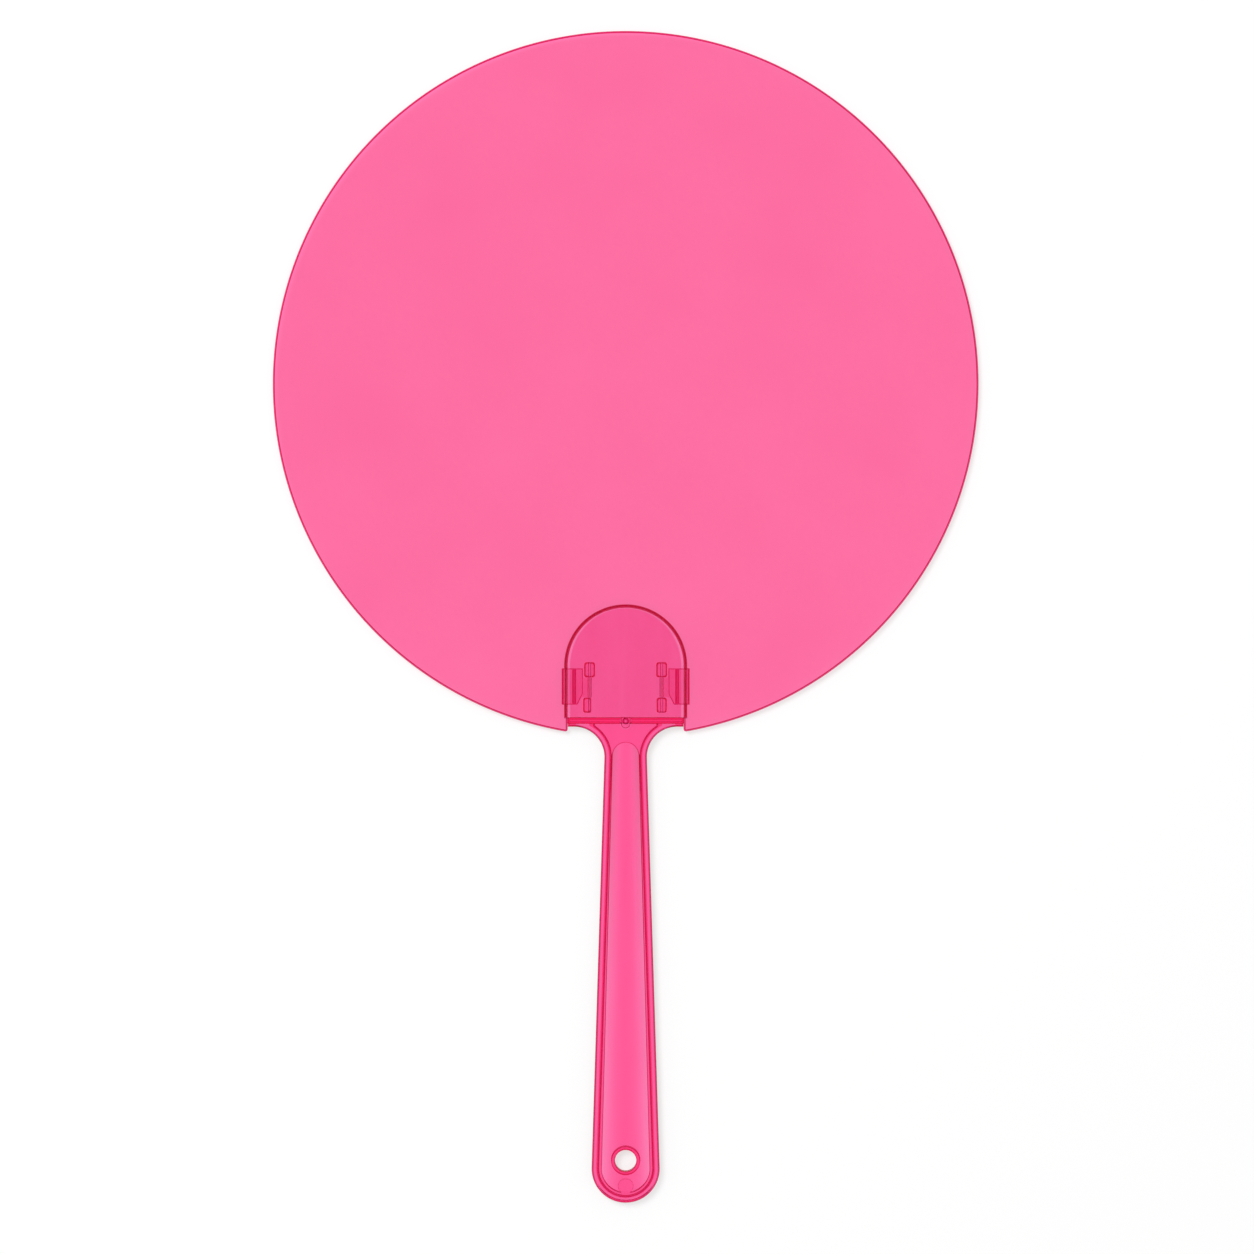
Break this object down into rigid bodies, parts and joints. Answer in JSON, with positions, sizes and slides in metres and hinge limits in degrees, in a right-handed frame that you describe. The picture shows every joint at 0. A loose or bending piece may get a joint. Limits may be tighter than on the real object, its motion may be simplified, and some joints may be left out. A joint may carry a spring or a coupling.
{
  "type": "round hand fan",
  "caption": "Round hand fan: translucent pink sheet slid into the arched head of a moulded handle, held by hinged side clips, with a hanging hole in the grip.",
  "frame": {"origin": "bottom centre of the whole fan lying on its back", "axes": "+X to the fan's right seen from the front, +Y along the middle line from the handle to the disc, +Z out of the front"},
  "size_m": [0.21, 0.3484, 0.0053],
  "materials": {
    "tinted_sheet": "satin translucent sheet",
    "tinted_moulding": "clear glossy moulding",
    "tinted_clip": "clear glossy moulding",
    "tinted_pin": "clear glossy pin"
  },
  "bodies": {
    "handle": {"handle": "tinted_moulding", "head_cover": "tinted_moulding", "cover_rivet": "tinted_pin", "left_clip_pin": "tinted_pin", "right_clip_pin": "tinted_pin"},
    "disc": {"fan_disc": "tinted_sheet"},
    "left_clip": {"left_clip": "tinted_clip"},
    "right_clip": {"right_clip": "tinted_clip"}
  },
  "joints": [
    {"name": "disc_pull_out", "type": "slide", "parent": "handle", "child": "disc", "axis": [0, 1, 0], "range_m": [0, 0.042]},
    {"name": "left_clip_hinge", "type": "hinge", "parent": "handle", "child": "left_clip", "pos_m": [-0.0107, -0.02105, 0.0043], "axis": [0, 1, 0], "range_deg": [0, 110]},
    {"name": "right_clip_hinge", "type": "hinge", "parent": "handle", "child": "right_clip", "pos_m": [0.0107, -0.02105, 0.0043], "axis": [0, -1, 0], "range_deg": [0, 110]}
  ]
}
